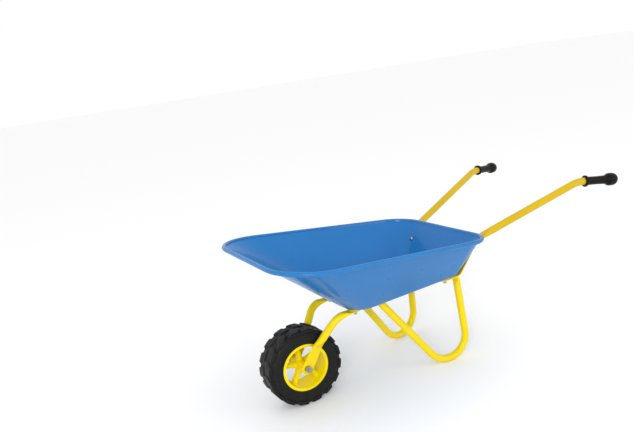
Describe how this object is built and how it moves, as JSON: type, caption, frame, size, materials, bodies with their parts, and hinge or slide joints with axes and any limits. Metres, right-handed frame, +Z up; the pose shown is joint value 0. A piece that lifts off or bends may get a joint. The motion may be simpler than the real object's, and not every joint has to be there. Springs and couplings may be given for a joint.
{
  "type": "toy wheelbarrow",
  "caption": "Single-wheel children's barrow: pressed sheet tray with a rolled rim, bolted to bent tube legs, forks and handles with soft grips.",
  "frame": {"origin": "on the ground, under the middle of the bounding box", "axes": "+X from the wheel to the handles, +Z up, +Y towards the right hand of the person pushing"},
  "size_m": [0.82, 0.42, 0.3399],
  "materials": {
    "tray_blue": "gloss",
    "tube_yellow": "gloss",
    "rim_yellow": "gloss",
    "tyre_black": "matte",
    "grip_black": "satin",
    "zinc": "satin"
  },
  "bodies": {
    "frame": {"tray": "tray_blue", "handle_left": "tube_yellow", "handle_right": "tube_yellow", "leg_left": "tube_yellow", "leg_right": "tube_yellow", "fork_left": "tube_yellow", "fork_right": "tube_yellow", "grip_left": "grip_black", "grip_right": "grip_black", "axle_sleeve": "zinc", "axle_bolt": "zinc", "axle_nut": "zinc", "front_floor_bolts": "zinc", "front_floor_washers": "zinc", "front_floor_nuts": "zinc", "rear_floor_bolts": "zinc", "rear_floor_washers": "zinc", "rear_floor_nuts": "zinc", "wall_bolts": "zinc", "wall_washers": "zinc", "wall_nuts": "zinc"},
    "wheel": {"tyre": "tyre_black", "rim": "rim_yellow"}
  },
  "joints": [
    {"name": "wheel_spin", "type": "hinge", "parent": "frame", "child": "wheel", "pos_m": [-0.33, 0, 0.08], "axis": [0, 1, 0], "continuous": true}
  ]
}
